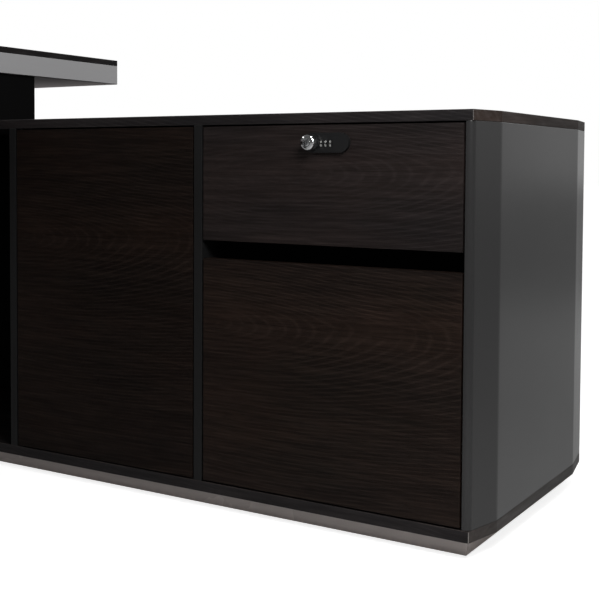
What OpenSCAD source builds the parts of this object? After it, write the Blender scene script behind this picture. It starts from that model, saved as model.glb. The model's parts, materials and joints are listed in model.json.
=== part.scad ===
// Corner office desk: a desktop that stands on a side cabinet at one end and on a panel leg at the other.
// X runs along the cabinet, Y from the leg to the cabinet's back, Z up from the floor.
// The origin is on the floor, under the middle of the whole desk.

/* [Desktop] */
// Length of the desktop, from its free end to the cabinet's back
desk_len = 1800; // [1600:10:2200]
// Depth of the desktop, from the user's edge to the visitor's edge
desk_depth = 800; // [700:10:1000]
// Distance from the cabinet's right end to the user's edge of the desktop
desk_setback = 1031; // [960:1:1100]
// Thickness of the grey core slab
desk_core_t = 39.5; // [25:0.5:60]
// Thickness of the dark board on the slab
desk_top_t = 11.5; // [8:0.5:25]
// Height of the riser between the cabinet and the desktop
riser_h = 96.5; // [60:0.5:140]
// How far the riser stands in from the user's edge
riser_inset = 6; // [2:1:40]
// How far the riser stands back from the cabinet's front
riser_front_inset = 15; // [4:1:60]
// Width of the riser, from its front to its back
riser_w = 226.5; // [120:0.5:400]

/* [Side cabinet] */
// Height of the cabinet above the floor
cab_h = 600; // [560:1:660]
// Clear width of the drawer bay
drawer_bay = 425.5; // [380:0.5:480]
// Clear width of the cupboard beside the drawers
door_bay = 375; // [320:1:420]
// Clear width of the open niche
niche_bay = 375; // [320:1:420]
// Clear width of the cupboard under the desktop
left_bay = 375; // [320:1:420]
// Thickness of the top board, the dividers, the shelves and the back
board_t = 15; // [12:0.5:20]
// Thickness of the base board
base_t = 16; // [12:0.5:25]
// Thickness of the end panels
end_t = 25; // [20:0.5:40]
// How far the end panels' slanted facets cut in
facet_in = 14.5; // [5:0.5:18]
// Length of the front facet
facet_front = 64; // [30:1:90]
// Length of the back facet
facet_back = 82; // [30:1:100]
// Height of the plinth
plinth_h = 28; // [20:1:60]
// How far the plinth stands in from the base board
plinth_inset = 30; // [15:1:60]
// Thickness of the plinth rails
plinth_t = 18; // [12:1:25]

/* [Fronts] */
// Thickness of the door and drawer fronts
front_t = 18; // [15:0.5:22]
// Gap round each front
front_gap = 2.5; // [1.5:0.1:4]
// Height of the upper drawer's front
upper_front_h = 170; // [140:0.5:210]
// Height of the finger gap between the drawers
finger_gap = 27.8; // [20:0.1:40]
// Depth of the finger gap behind the fronts' face
finger_depth = 55; // [40:1:80]
// Distance from a door's edge to its pivot
pivot_edge = 8; // [7:0.5:12]
// Distance from a door's face to its pivot
pivot_face = 5; // [4.5:0.1:6]
// Radius of a pivot pin
pivot_r = 3; // [2:0.1:3.5]
// Depth of a pivot pin in the door, and in the board
pivot_depth = 10; // [6:0.5:11]

/* [Drawers] */
// Depth of the drawer boxes behind their fronts, which sets the cabinet's depth
box_depth = 430; // [350:1:550]
// Clear space between the drawer boxes and the back panel
box_clear = 17; // [5:1:60]
// Thickness of the drawer sides and backs
box_t = 12; // [10:0.5:16]
// Thickness of the drawer bottoms
bottom_t = 5; // [3:0.5:8]
// Height of the upper drawer's box
upper_box_h = 128; // [60:1:132]
// Height of the file drawer's box
lower_box_h = 270; // [200:1:300]
// Width of a telescopic slide, from the cabinet wall to the drawer side
slide_w = 12.7; // [12.5:0.1:14]
// Height of a slide's fixed channel
slide_h = 45; // [35:1:50]
// Thickness of the slides' steel
slide_steel = 1.5; // [1:0.1:1.6]

/* [Lock] */
// Length of the lock's front plate
lock_len = 72; // [66:1:90]
// Height of the lock's front plate
lock_h = 28; // [26:0.5:34]
// Thickness of the lock's front plate
lock_t = 6; // [5:0.5:6.4]
// Distance from the drawer front's right edge to the plate
lock_side = 168.5; // [60:0.5:200]
// Distance from the drawer front's top edge to the lock's middle
lock_drop = 25; // [23:0.5:40]
// Radius of the knob
knob_r = 11; // [8:0.5:12]
// Length of the knob's head
knob_len = 12; // [8:0.5:20]
// Radius of a number wheel
dial_r = 8; // [7.5:0.1:8.4]
// Thickness of a number wheel
dial_w = 4.6; // [3.5:0.1:5]
// Distance between two number wheels
dial_pitch = 7.4; // [7.4:0.1:9]

/* [Leg] */
// Thickness of the leg panel
leg_t = 40; // [30:1:60]
// How far the leg stands in from the desktop's free end
leg_inset = 50; // [20:1:150]
// Thickness of the modesty panel
modesty_t = 18; // [15:0.5:25]
// Height of the modesty panel's lower edge above the floor
modesty_low = 320; // [100:10:500]

/* [Hidden] */
$fn = 64;
// How far a cutting shape runs past the face that it cuts
cut = 1;

// Colours, as seen
wood = [0.12, 0.10, 0.09];
graphite = [0.22, 0.22, 0.23];
grey = [0.32, 0.31, 0.31];
black = [0.05, 0.05, 0.05];
silver = [0.52, 0.50, 0.49];
steel = [0.62, 0.63, 0.65];
chrome = [0.85, 0.86, 0.88];
box_grey = [0.36, 0.36, 0.37];

// Across the whole desk
cab_depth = front_t + box_depth + box_clear + board_t;
total_x = desk_setback + desk_depth;
x_out_r = total_x / 2;
x_desk_r = x_out_r - desk_setback;
x_desk_l = -total_x / 2;
y_back = desk_len / 2;
y_front = y_back - cab_depth;
y_near = -desk_len / 2;

// Across the cabinet, from the right end to the left
x_in_r = x_out_r - end_t;
x_div_1 = [x_in_r - drawer_bay - board_t, x_in_r - drawer_bay];
x_div_2 = [x_div_1[0] - door_bay - board_t, x_div_1[0] - door_bay];
x_div_3 = [x_div_2[0] - niche_bay - board_t, x_div_2[0] - niche_bay];
x_in_l = x_div_3[0] - left_bay;
x_out_l = x_in_l - end_t;

// Up the cabinet
z_base = plinth_h + base_t;
z_top = cab_h - board_t;
z_inside = [z_base, z_top];
z_front = [z_base + front_gap, z_top - front_gap];
y_inside = [y_front, y_back - board_t];
y_fronts = [y_front, y_front + front_t];
y_behind = y_front + front_t;
x_plinth = [x_out_l + plinth_inset, x_out_r - plinth_inset];
y_plinth = [y_front + plinth_inset, y_back - plinth_inset];

// Drawer fronts
x_drawer = [x_div_1[1] + front_gap, x_in_r - front_gap];
z_upper = [z_front[1] - upper_front_h, z_front[1]];
z_lower = [z_front[0], z_upper[0] - finger_gap];

// Drawer boxes and their slides
upper_lift = 8;
lower_lift = 12;
z_upper_box = z_upper[0] + upper_lift;
z_lower_box = z_lower[0] + lower_lift;
x_box = [x_div_1[1] + slide_w, x_in_r - slide_w];
groove_depth = 5;
groove_height = 10;
slide_play = 0.4;
slide_start = 4;
y_slide = [y_behind + slide_start, y_behind + box_depth];
upper_slide_up = 12;
lower_slide_up = 60;
z_upper_slide = z_upper_box + slide_h / 2 + upper_slide_up;
z_lower_slide = z_lower_box + slide_h / 2 + lower_slide_up;
middle_h = slide_h - 2 * (slide_steel + slide_play);
moving_h = middle_h - 2 * (slide_steel + slide_play);
rail_cap = 4;
rail_lip_h = 10;
rail_lip_t = 2.5;
middle_start = slide_steel + slide_play;
middle_end = slide_w - slide_steel - slide_play;

// Finger rail behind the gap
rail_lap = 5.5;

// Shelves and pins
shelf_z = 300;
shelf_play = 0.5;
shelf_front = 8;
pin_r = 2.5;
pin_len = 9;
pin_inset = 40;
y_shelf = [y_behind + shelf_front, y_inside[1] - shelf_play];

// Doors
door_r_x = [x_div_2[1] + front_gap, x_div_1[0] - front_gap];
door_l_x = [x_in_l + front_gap, x_div_3[0] - front_gap];
pivot_play = 0.05;
collar_rim = 1.5;
collar_play = 0.3;
pivot_collar_r = pivot_r + collar_rim;
pivot_collar_h = front_gap - collar_play;
pivot_y = y_front + pivot_face;
pivot_r_x = door_r_x[0] + pivot_edge;
pivot_l_x = door_l_x[1] - pivot_edge;

// Push latches under the top board, at the doors' free edges
latch_w = 14;
latch_h = 12;
latch_len = 50;
latch_edge = 28;
latch_gap = 4;
plunger_r = 3;
plunger_len = 38;
plunger_play = 0.05;
plunger_stroke = 3;
door_touch = 0.3;
latch_z = z_top - latch_h / 2;
latch_r_x = door_r_x[1] - latch_edge;
latch_l_x = door_l_x[0] + latch_edge;

// Lock on the upper drawer's front
lock_z = z_upper[1] - lock_drop;
lock_right = x_drawer[1] - lock_side;
lock_left = lock_right - lock_len;
knob_x = lock_left + lock_h / 2;
boss_r = 11.5;
boss_t = 4;
barrel_r = 9;
barrel_back = 4;
barrel_play = 0.1;
spindle_r = 4;
spindle_play = 0.05;
head_play = 0.4;
neck_in = 2;
neck_r = knob_r - neck_in;
neck_len = knob_len * 0.3;
flare_len = knob_len * 0.45;
dome_h = 2.5;
dome_points = [[knob_r, knob_len - dome_h], [knob_r * 0.85, knob_len - dome_h * 0.45],
    [knob_r * 0.5, knob_len - dome_h * 0.1], [0, knob_len]];
key_w = 1.8;
key_h = 7;
key_depth = 3;
y_plate = y_front - lock_t;
y_boss = y_plate - boss_t;
y_barrel = y_behind + barrel_back;
dial_set = 1;
dial_play = 0.3;
dial_wall = 2.5;
dials_in = 36.5;
dials_down = 1.5;
dial_x = lock_right - dials_in;
dial_z = lock_z - dials_down;
dial_y = y_front + dial_set;
axle_r = 1.5;
axle_play = 0.05;
housing_x = [dial_x - dial_pitch - dial_w / 2 - dial_wall, dial_x + dial_pitch + dial_w / 2 + dial_wall];
housing_wall = 1.3;
housing_rim = 2;
housing_back = dial_set + dial_r + dial_play + housing_wall;
housing_z = [dial_z - dial_r - housing_rim, dial_z + dial_r + housing_rim];
cam_t = 2;
cam_w = 9;
cam_len = 24;
cam_heel = 2.5;
cam_play = 0.3;
strike_t = 2;
strike_w = 40;
strike_gap = 1.2;
strike_drop = 12;
strike_flange = 26;

// Riser, leg and modesty panel
x_riser = [x_out_l + facet_in, x_desk_r - riser_inset];
y_riser = [y_front + riser_front_inset, y_front + riser_front_inset + riser_w];
z_riser = [cab_h, cab_h + riser_h];
z_core = [z_riser[1], z_riser[1] + desk_core_t];
z_desk = [z_core[1], z_core[1] + desk_top_t];
y_leg = [y_near + leg_inset, y_near + leg_inset + leg_t];
leg_plinth_inset = 10;
x_modesty = [x_in_l - modesty_t, x_in_l];
y_modesty = [y_leg[1], y_front];

// Brackets and screws under the desktop
bracket_len = 40;
bracket_w = 36;
bracket_t = 3;
bracket_count = 3;
leg_bracket_count = 2;
screw_at = 24;
screw_r = 2;
screw_play = 0.25;
screw_len = 15;
screw_head_r = 4;
screw_head_t = 2;
bracket_y = [for (i = [1:bracket_count]) y_leg[1] + (y_front - y_leg[1]) * i / (bracket_count + 1)];
leg_bracket_x = [for (i = [1:leg_bracket_count])
    x_in_l + (x_riser[1] - x_in_l) * i / (leg_bracket_count + 1)];

function from_end(side, d) = side > 0 ? x_out_r - d : x_out_l + d;
function between(a, b) = [min(a, b), max(a, b)];

// A board or block, given by its limits along each axis
module block(x, y, z) {
    translate([x[0], y[0], z[0]])
        cube([x[1] - x[0], y[1] - y[0], z[1] - z[0]]);
}

// A round bar along X or Y, given by its limits
module bar_x(x, y, z, r) translate([x[0], y, z]) rotate([0, 90, 0]) cylinder(r = r, h = x[1] - x[0]);
module bar_y(x, y, z, r) translate([x, y[1], z]) rotate([90, 0, 0]) cylinder(r = r, h = y[1] - y[0]);

// Plan of the top and base boards, with the facets at both ends
module plan_outline() {
    polygon([
        [from_end(1, facet_in), y_front], [from_end(1, 0), y_front + facet_front],
        [from_end(1, 0), y_back - facet_back], [from_end(1, facet_in), y_back],
        [from_end(-1, facet_in), y_back], [from_end(-1, 0), y_back - facet_back],
        [from_end(-1, 0), y_front + facet_front], [from_end(-1, facet_in), y_front]]);
}

// Blind holes for the door pivots, which reach up from z
module pivot_holes(z) {
    for (x = [pivot_r_x, pivot_l_x])
        translate([x, pivot_y, z]) cylinder(r = pivot_r, h = pivot_depth);
}

module credenza_top() {
    color(wood) difference() {
        translate([0, 0, z_top]) linear_extrude(board_t) plan_outline();
        pivot_holes(z_top);
    }
}

module credenza_base() {
    color(wood) difference() {
        translate([0, 0, plinth_h]) linear_extrude(base_t) plan_outline();
        pivot_holes(z_base - pivot_depth);
    }
}

// Thick panel with a slanted facet towards the front and one towards the back
module end_panel(side) {
    translate([0, 0, z_base]) linear_extrude(z_top - z_base) polygon([
        [from_end(side, end_t), y_front], [from_end(side, facet_in), y_front],
        [from_end(side, 0), y_front + facet_front], [from_end(side, 0), y_back - facet_back],
        [from_end(side, facet_in), y_back], [from_end(side, end_t), y_back]]);
}

// Blind holes for shelf pins, in the wall face at x and away from the bay
module pin_holes(x, away) {
    for (y = [y_shelf[0] + pin_inset, y_shelf[1] - pin_inset])
        bar_x(between(x, x + away * pin_len), y, shelf_z - pin_r, pin_r);
}

module end_panel_right() color(grey) end_panel(1);
module end_panel_left() color(grey) difference() { end_panel(-1); pin_holes(x_in_l, -1); }

module divider_drawers() {
    color(graphite) difference() { block(x_div_1, y_inside, z_inside); pin_holes(x_div_1[0], 1); }
}
module divider_door() {
    color(graphite) difference() { block(x_div_2, y_inside, z_inside); pin_holes(x_div_2[1], -1); }
}
module divider_niche() {
    color(graphite) difference() { block(x_div_3, y_inside, z_inside); pin_holes(x_div_3[0], 1); }
}
module back_panel() color(graphite) block([x_in_l, x_in_r], [y_inside[1], y_back], z_inside);

// Plinth of four rails and two cross rails, set back under the base board
module plinth_front() color(silver) block(x_plinth, [y_plinth[0], y_plinth[0] + plinth_t], [0, plinth_h]);
module plinth_back() color(silver) block(x_plinth, [y_plinth[1] - plinth_t, y_plinth[1]], [0, plinth_h]);
module plinth_rail(x) {
    color(silver) block([x, x + plinth_t], [y_plinth[0] + plinth_t, y_plinth[1] - plinth_t], [0, plinth_h]);
}
module plinth_end_right() plinth_rail(x_plinth[1] - plinth_t);
module plinth_end_left() plinth_rail(x_plinth[0]);
module plinth_cross_rails() { plinth_rail(x_div_1[0]); plinth_rail(x_div_3[0]); }

// Black rail that closes the finger gap behind the drawer fronts
module finger_rail() {
    color(black) block([x_div_1[1], x_in_r], [y_front + finger_depth, y_front + finger_depth + board_t],
        [z_lower[1] - rail_lap, z_upper[0] + rail_lap]);
}

module shelf(x) {
    color(graphite) block([x[0] + shelf_play, x[1] - shelf_play], y_shelf, [shelf_z, shelf_z + board_t]);
}
module shelf_right() shelf([x_div_2[1], x_div_1[0]]);
module shelf_left() shelf([x_in_l, x_div_3[0]]);
module shelf_pins() {
    color(steel) for (bay = [[x_div_2[1], x_div_1[0]], [x_in_l, x_div_3[0]]],
            y = [y_shelf[0] + pin_inset, y_shelf[1] - pin_inset]) {
        bar_x([bay[0] - pin_len, bay[0] + pin_len], y, shelf_z - pin_r, pin_r);
        bar_x([bay[1] - pin_len, bay[1] + pin_len], y, shelf_z - pin_r, pin_r);
    }
}

// Pins that stand in the base board and hang from the top board, with a collar that carries the door
module door_pivots() {
    color(black) for (x = [pivot_r_x, pivot_l_x]) {
        translate([x, pivot_y, z_base - pivot_depth])
            cylinder(r = pivot_r, h = 2 * pivot_depth + front_gap);
        translate([x, pivot_y, z_base]) cylinder(r = pivot_collar_r, h = pivot_collar_h);
        translate([x, pivot_y, z_top - pivot_depth - front_gap])
            cylinder(r = pivot_r, h = 2 * pivot_depth + front_gap);
        translate([x, pivot_y, z_top - pivot_collar_h]) cylinder(r = pivot_collar_r, h = pivot_collar_h);
    }
}

// Door with a pivot bore in its lower and upper edge
module door(x, pivot) {
    color(wood) difference() {
        block(x, y_fronts, z_front);
        for (z = [z_front[0] - cut, z_front[1] - pivot_depth - cut])
            translate([pivot, pivot_y, z]) cylinder(r = pivot_r + pivot_play, h = pivot_depth + 2 * cut);
    }
}
module door_right() door(door_r_x, pivot_r_x);
module door_left() door(door_l_x, pivot_l_x);

module latch_cases() {
    color(black) for (x = [latch_r_x, latch_l_x]) difference() {
        block([x - latch_w / 2, x + latch_w / 2], [y_behind + latch_gap, y_behind + latch_gap + latch_len],
            [z_top - latch_h, z_top]);
        bar_y(x, [y_behind, y_behind + door_touch + plunger_len + plunger_stroke],
            latch_z, plunger_r + plunger_play);
    }
}
module latch_plunger(x) {
    color(silver)
        bar_y(x, [y_behind + door_touch, y_behind + door_touch + plunger_len], latch_z, plunger_r);
}
module latch_plunger_right() latch_plunger(latch_r_x);
module latch_plunger_left() latch_plunger(latch_l_x);

// Drawer front boards. The upper one is cut for the lock.
module upper_front() {
    color(wood) difference() {
        block(x_drawer, y_fronts, z_upper);
        bar_y(knob_x, [y_front - cut, y_behind + cut], lock_z, barrel_r + barrel_play);
        block([housing_x[0] - barrel_play, housing_x[1] + barrel_play],
            [y_front - cut, y_front + housing_back + barrel_play],
            [housing_z[0] - barrel_play, housing_z[1] + barrel_play]);
    }
}
module lower_front() color(wood) block(x_drawer, y_fronts, z_lower);

// Drawer side: side is 1 on the right and -1 on the left, and z is the side's lower edge
module drawer_side(side, z, h) {
    outer = side > 0 ? x_box[1] : x_box[0];
    inner = outer - side * box_t;
    color(box_grey) difference() {
        block(between(outer, inner), [y_behind, y_behind + box_depth], [z, z + h]);
        block(between(inner - side * cut, inner + side * groove_depth),
            [y_behind - cut, y_behind + box_depth + cut],
            [z + groove_height, z + groove_height + bottom_t]);
    }
}
module drawer_back(z, h) {
    color(box_grey) block([x_box[0] + box_t, x_box[1] - box_t],
        [y_behind + box_depth - box_t, y_behind + box_depth], [z + groove_height + bottom_t, z + h]);
}
module drawer_bottom(z) {
    color(box_grey) block([x_box[0] + box_t - groove_depth, x_box[1] - box_t + groove_depth],
        [y_behind, y_behind + box_depth], [z + groove_height, z + groove_height + bottom_t]);
}
module upper_side_right() drawer_side(1, z_upper_box, upper_box_h);
module upper_side_left() drawer_side(-1, z_upper_box, upper_box_h);
module upper_back() drawer_back(z_upper_box, upper_box_h);
module upper_bottom() drawer_bottom(z_upper_box);
module lower_side_right() drawer_side(1, z_lower_box, lower_box_h);
module lower_side_left() drawer_side(-1, z_lower_box, lower_box_h);
module lower_back() drawer_back(z_lower_box, lower_box_h);
module lower_bottom() drawer_bottom(z_lower_box);

// Lipped strips on the file drawer's sides, for hanging files
module file_rails() {
    z = z_lower_box + lower_box_h;
    color(black) for (side = [-1, 1]) {
        outer = side > 0 ? x_box[1] : x_box[0];
        inner = outer - side * box_t;
        block(between(outer, inner), [y_behind, y_behind + box_depth], [z, z + rail_cap]);
        block(between(inner, inner + side * rail_lip_t), [y_behind, y_behind + box_depth],
            [z + rail_cap, z + rail_lip_h]);
    }
}

// One member of a telescopic slide: a web and two flanges, measured inwards from the cabinet wall
module channel(side, web, reach, h, z) {
    wall = side > 0 ? x_in_r : x_div_1[1];
    color(steel) {
        block(between(wall - side * web[0], wall - side * web[1]), y_slide, [z - h / 2, z + h / 2]);
        for (edge = [z - h / 2, z + h / 2 - slide_steel])
            block(between(wall - side * reach[0], wall - side * reach[1]), y_slide,
                [edge, edge + slide_steel]);
    }
}
module slide_fixed(z) {
    for (side = [-1, 1]) channel(side, [0, slide_steel], [0, middle_end - slide_steel], slide_h, z);
}
module slide_middle(z) {
    for (side = [-1, 1])
        channel(side, [middle_start, middle_start + slide_steel], [middle_start, middle_end], middle_h, z);
}
module slide_moving(z) {
    for (side = [-1, 1])
        channel(side, [slide_w - slide_steel, slide_w],
            [middle_start + slide_steel + slide_play, slide_w], moving_h, z);
}
module slide_fixed_upper() slide_fixed(z_upper_slide);
module slide_middle_upper() slide_middle(z_upper_slide);
module slide_moving_upper() slide_moving(z_upper_slide);
module slide_fixed_lower() slide_fixed(z_lower_slide);
module slide_middle_lower() slide_middle(z_lower_slide);
module slide_moving_lower() slide_moving(z_lower_slide);

// Combination lock: plate with round ends, boss and barrel for the knob, housing for the wheels
module lock_case() {
    color(black) difference() {
        union() {
            bar_y(knob_x, [y_plate, y_front], lock_z, lock_h / 2);
            bar_y(lock_right - lock_h / 2, [y_plate, y_front], lock_z, lock_h / 2);
            block([knob_x, lock_right - lock_h / 2], [y_plate, y_front],
                [lock_z - lock_h / 2, lock_z + lock_h / 2]);
            bar_y(knob_x, [y_boss, y_plate], lock_z, boss_r);
            bar_y(knob_x, [y_front, y_barrel], lock_z, barrel_r);
            block(housing_x, [y_front, y_front + housing_back], housing_z);
        }
        bar_y(knob_x, [y_boss - cut, y_barrel + cut], lock_z, spindle_r + spindle_play);
        for (i = [-1:1])
            bar_x([dial_x + i * dial_pitch - dial_w / 2 - dial_play / 2,
                dial_x + i * dial_pitch + dial_w / 2 + dial_play / 2], dial_y, dial_z, dial_r + dial_play);
        bar_x(housing_x, dial_y, dial_z, axle_r);
    }
}
module lock_axle() color(steel) bar_x(housing_x, dial_y, dial_z, axle_r);
module lock_dial(i) {
    x = dial_x + i * dial_pitch;
    color(silver) difference() {
        bar_x([x - dial_w / 2, x + dial_w / 2], dial_y, dial_z, dial_r);
        bar_x([x - dial_w / 2 - cut, x + dial_w / 2 + cut], dial_y, dial_z, axle_r + axle_play);
    }
}
module lock_dial_1() lock_dial(-1);
module lock_dial_2() lock_dial(0);
module lock_dial_3() lock_dial(1);

// Knob with a domed head on a spindle that passes through the barrel, and a key slot in its face
module lock_knob() {
    head = y_boss - head_play;
    tail = y_barrel + cam_play + cam_t - head;
    color(chrome) translate([knob_x, head, lock_z]) rotate([90, 0, 0]) difference() {
        union() {
            translate([0, 0, -tail]) cylinder(r = spindle_r, h = tail + cut);
            rotate_extrude() polygon(concat(
                [[0, 0], [neck_r, 0], [neck_r, neck_len], [knob_r, flare_len]], dome_points));
        }
        translate([-key_w / 2, -key_h / 2, knob_len - key_depth]) cube([key_w, key_h, key_depth + cut]);
    }
}
// Cam on the spindle's end. It lies across and turns up behind the strike.
module lock_cam() {
    y = [y_barrel + cam_play, y_barrel + cam_play + cam_t];
    color(steel) difference() {
        block([knob_x - cam_len, knob_x + spindle_r + cam_heel], y,
            [lock_z - cam_w / 2, lock_z + cam_w / 2]);
        bar_y(knob_x, [y[0] - cut, y[1] + cut], lock_z, spindle_r);
    }
}
module lock_strike() {
    y = [y_behind + strike_gap, y_behind + strike_gap + strike_t];
    x = [knob_x - strike_w / 2, knob_x + strike_w / 2];
    color(black) {
        block(x, y, [z_top - strike_drop, z_top]);
        block(x, [y[0], y[0] + strike_flange], [z_top - strike_t, z_top]);
    }
}

// Riser: a box of four black boards on the cabinet's top
module riser_front() {
    color(black)
        block([x_riser[0] + board_t, x_riser[1] - board_t], [y_riser[0], y_riser[0] + board_t], z_riser);
}
module riser_back() {
    color(black)
        block([x_riser[0] + board_t, x_riser[1] - board_t], [y_riser[1] - board_t, y_riser[1]], z_riser);
}
module riser_side_right() color(black) block([x_riser[1] - board_t, x_riser[1]], y_riser, z_riser);
module riser_side_left() color(black) block([x_riser[0], x_riser[0] + board_t], y_riser, z_riser);

module desk_core() color(silver) block([x_desk_l, x_desk_r], [y_near, y_back], z_core);
module desk_top() color(wood) block([x_desk_l, x_desk_r], [y_near, y_back], z_desk);

// Panel leg with the same slanted facets, on a low plinth
module leg_panel() {
    x = [x_out_l, x_riser[1]];
    color(grey) translate([0, 0, plinth_h]) linear_extrude(z_core[0] - plinth_h) polygon([
        [x[0], y_leg[1]], [x[0], y_leg[0] + facet_in], [x[0] + facet_front, y_leg[0]],
        [x[1] - facet_front, y_leg[0]], [x[1], y_leg[0] + facet_in], [x[1], y_leg[1]]]);
}
module leg_plinth() {
    color(silver) block([x_out_l + plinth_inset, x_riser[1] - plinth_inset],
        [y_leg[0] + leg_plinth_inset, y_leg[1] - leg_plinth_inset], [0, plinth_h]);
}
module modesty_panel() color(wood) block(x_modesty, y_modesty, [modesty_low, z_core[0]]);

// Steel angle under the desktop, in its own frame: it stands against the plane x = 0 and hangs from z = 0
module angle_bracket() {
    color(black) difference() {
        union() {
            block([0, bracket_t], [-bracket_w / 2, bracket_w / 2], [-bracket_len, 0]);
            block([0, bracket_len], [-bracket_w / 2, bracket_w / 2], [-bracket_t, 0]);
        }
        bar_x([-cut, bracket_t + cut], 0, -screw_at, screw_r + screw_play);
        translate([screw_at, 0, -bracket_t - cut])
            cylinder(r = screw_r + screw_play, h = bracket_t + 2 * cut);
    }
}
module angle_screws() {
    color(steel) {
        bar_x([bracket_t - screw_len, bracket_t], 0, -screw_at, screw_r);
        bar_x([bracket_t, bracket_t + screw_head_t], 0, -screw_at, screw_head_r);
        translate([screw_at, 0, -bracket_t]) cylinder(r = screw_r, h = screw_len);
        translate([screw_at, 0, -bracket_t - screw_head_t]) cylinder(r = screw_head_r, h = screw_head_t);
    }
}
// Places what it is given at each bracket: three along the modesty panel and two on the leg
module at_brackets() {
    for (y = bracket_y) translate([x_in_l, y, z_core[0]]) children();
    for (x = leg_bracket_x) translate([x, y_leg[1], z_core[0]]) rotate([0, 0, 90]) children();
}
module angle_brackets() at_brackets() angle_bracket();
module bracket_screws() at_brackets() angle_screws();

credenza_top();
credenza_base();
end_panel_right();
end_panel_left();
divider_drawers();
divider_door();
divider_niche();
back_panel();
plinth_front();
plinth_back();
plinth_end_right();
plinth_end_left();
plinth_cross_rails();
finger_rail();
shelf_right();
shelf_left();
shelf_pins();
door_pivots();
latch_cases();
latch_plunger_right();
latch_plunger_left();
door_right();
door_left();
upper_front();
upper_side_right();
upper_side_left();
upper_back();
upper_bottom();
lower_front();
lower_side_right();
lower_side_left();
lower_back();
lower_bottom();
file_rails();
slide_fixed_upper();
slide_middle_upper();
slide_moving_upper();
slide_fixed_lower();
slide_middle_lower();
slide_moving_lower();
lock_case();
lock_knob();
lock_cam();
lock_axle();
lock_dial_1();
lock_dial_2();
lock_dial_3();
lock_strike();
riser_front();
riser_back();
riser_side_right();
riser_side_left();
desk_core();
desk_top();
leg_panel();
leg_plinth();
modesty_panel();
angle_brackets();
bracket_screws();
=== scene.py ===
import json
import math

import bpy
from mathutils import Matrix, Vector

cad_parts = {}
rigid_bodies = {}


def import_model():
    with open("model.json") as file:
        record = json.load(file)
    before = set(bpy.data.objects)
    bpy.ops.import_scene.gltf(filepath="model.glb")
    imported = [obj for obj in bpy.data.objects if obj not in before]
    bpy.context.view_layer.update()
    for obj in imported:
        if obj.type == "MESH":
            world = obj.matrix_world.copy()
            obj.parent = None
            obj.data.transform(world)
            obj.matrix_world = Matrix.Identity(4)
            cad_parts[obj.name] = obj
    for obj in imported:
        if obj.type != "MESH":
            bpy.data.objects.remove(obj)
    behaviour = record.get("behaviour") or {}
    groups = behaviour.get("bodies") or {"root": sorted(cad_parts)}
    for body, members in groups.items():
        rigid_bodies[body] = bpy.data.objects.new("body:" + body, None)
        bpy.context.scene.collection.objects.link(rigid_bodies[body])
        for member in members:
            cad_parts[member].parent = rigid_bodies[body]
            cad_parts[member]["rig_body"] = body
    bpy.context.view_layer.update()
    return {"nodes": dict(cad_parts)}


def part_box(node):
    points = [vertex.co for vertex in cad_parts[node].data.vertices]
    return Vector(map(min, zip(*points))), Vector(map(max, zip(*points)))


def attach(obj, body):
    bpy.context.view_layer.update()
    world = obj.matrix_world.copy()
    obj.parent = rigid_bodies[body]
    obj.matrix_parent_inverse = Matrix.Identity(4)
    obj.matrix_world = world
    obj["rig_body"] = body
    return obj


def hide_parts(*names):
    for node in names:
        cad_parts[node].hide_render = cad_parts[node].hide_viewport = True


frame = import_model()

# The camera stands out to the right of the cabinet, just below the height of its top, and sees its
# fronts and its right end, as the photograph does. Its place comes from the edges of the boards.
look_turn, look_down, look_roll = 0.5481, -0.0419, 0.0054
camera_place = (1.4534, -0.9152, 0.5255)
picture_px, focal_px, horizon_px = 600, 1098.3, 211.4
ahead = Vector((-math.sin(look_turn) * math.cos(look_down), math.cos(look_turn) * math.cos(look_down),
                math.sin(look_down)))
level = Vector((math.cos(look_turn), math.sin(look_turn), 0))
upright = level.cross(ahead)
right_way = level * math.cos(look_roll) + upright * math.sin(look_roll)
up_way = upright * math.cos(look_roll) - level * math.sin(look_roll)
camera = bpy.data.objects.new("camera", bpy.data.cameras.new("camera"))
bpy.context.scene.collection.objects.link(camera)
camera.matrix_world = (Matrix.Translation(camera_place)
                       @ Matrix((right_way, up_way, -ahead)).transposed().to_4x4())
camera.data.sensor_width = 36
camera.data.lens = camera.data.sensor_width * focal_px / picture_px
camera.data.shift_y = (horizon_px - picture_px / 2) / picture_px
camera.data.clip_start = 0.05
bpy.context.scene.camera = camera
bpy.context.scene.view_settings.view_transform = "Standard"

# The studio is a white room: a white floor that keeps the desk's shadow, a white backdrop
# whose reflection darkens towards the front, and three soft lamps.
bpy.ops.object.select_all(action="DESELECT")
bpy.ops.mesh.primitive_grid_add(x_subdivisions=8, y_subdivisions=8, size=60, location=(0, 0, 0))
floor = bpy.context.object
floor.name = "studio_floor"
floor_grey, floor_glow, room_light = 0.54, 0.80, 0.45
floor_paint = bpy.data.materials.new("floor_paint")
floor_paint.use_nodes = True
nodes, links = floor_paint.node_tree.nodes, floor_paint.node_tree.links
nodes["Principled BSDF"].inputs["Base Color"].default_value = (floor_grey, floor_grey, floor_grey, 1)
nodes["Principled BSDF"].inputs["Roughness"].default_value = 0.9
ray = nodes.new("ShaderNodeLightPath")
seen = nodes.new("ShaderNodeMath")
seen.operation = "MULTIPLY"
seen.inputs[1].default_value = floor_glow
glow = nodes.new("ShaderNodeEmission")
both = nodes.new("ShaderNodeAddShader")
links.new(ray.outputs["Is Camera Ray"], seen.inputs[0])
links.new(seen.outputs[0], glow.inputs["Strength"])
links.new(nodes["Principled BSDF"].outputs[0], both.inputs[0])
links.new(glow.outputs[0], both.inputs[1])
links.new(both.outputs[0], nodes["Material Output"].inputs["Surface"])
floor.data.materials.append(floor_paint)

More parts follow.
